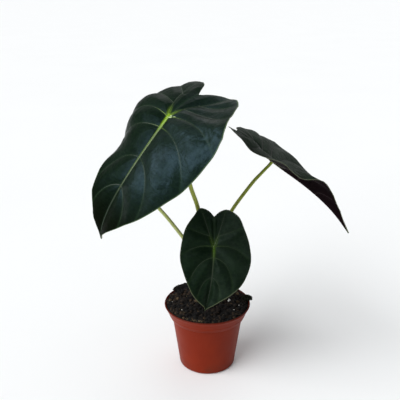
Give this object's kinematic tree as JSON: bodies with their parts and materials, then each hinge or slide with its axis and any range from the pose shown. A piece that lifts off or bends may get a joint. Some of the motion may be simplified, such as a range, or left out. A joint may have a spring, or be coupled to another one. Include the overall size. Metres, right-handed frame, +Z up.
{
  "type": "potted alocasia",
  "caption": "Small potted alocasia: dark heart-shaped leaves on thin arching stalks that rise from one crown, rooted in soil in a flared plastic nursery pot.",
  "frame": {"origin": "under the middle of the pot, on the face it stands on", "axes": "+Z up out of the pot; -Y is the side the front leaf hangs on, towards the picture's viewer, and +X is the viewer's right"},
  "size_m": [0.2151, 0.1442, 0.2663],
  "materials": {
    "pot_plastic": "satin",
    "potting_soil": "matte",
    "sheath": "satin",
    "stalk": "satin",
    "leaf": "satin"
  },
  "bodies": {
    "root": {"pot": "pot_plastic", "soil": "potting_soil", "crown": "sheath", "petiole_large": "stalk", "petiole_right": "stalk", "petiole_front": "stalk", "petiole_rear": "stalk", "blade_large": "leaf", "blade_right": "leaf", "blade_front": "leaf", "blade_rear": "leaf"}
  },
  "joints": []
}
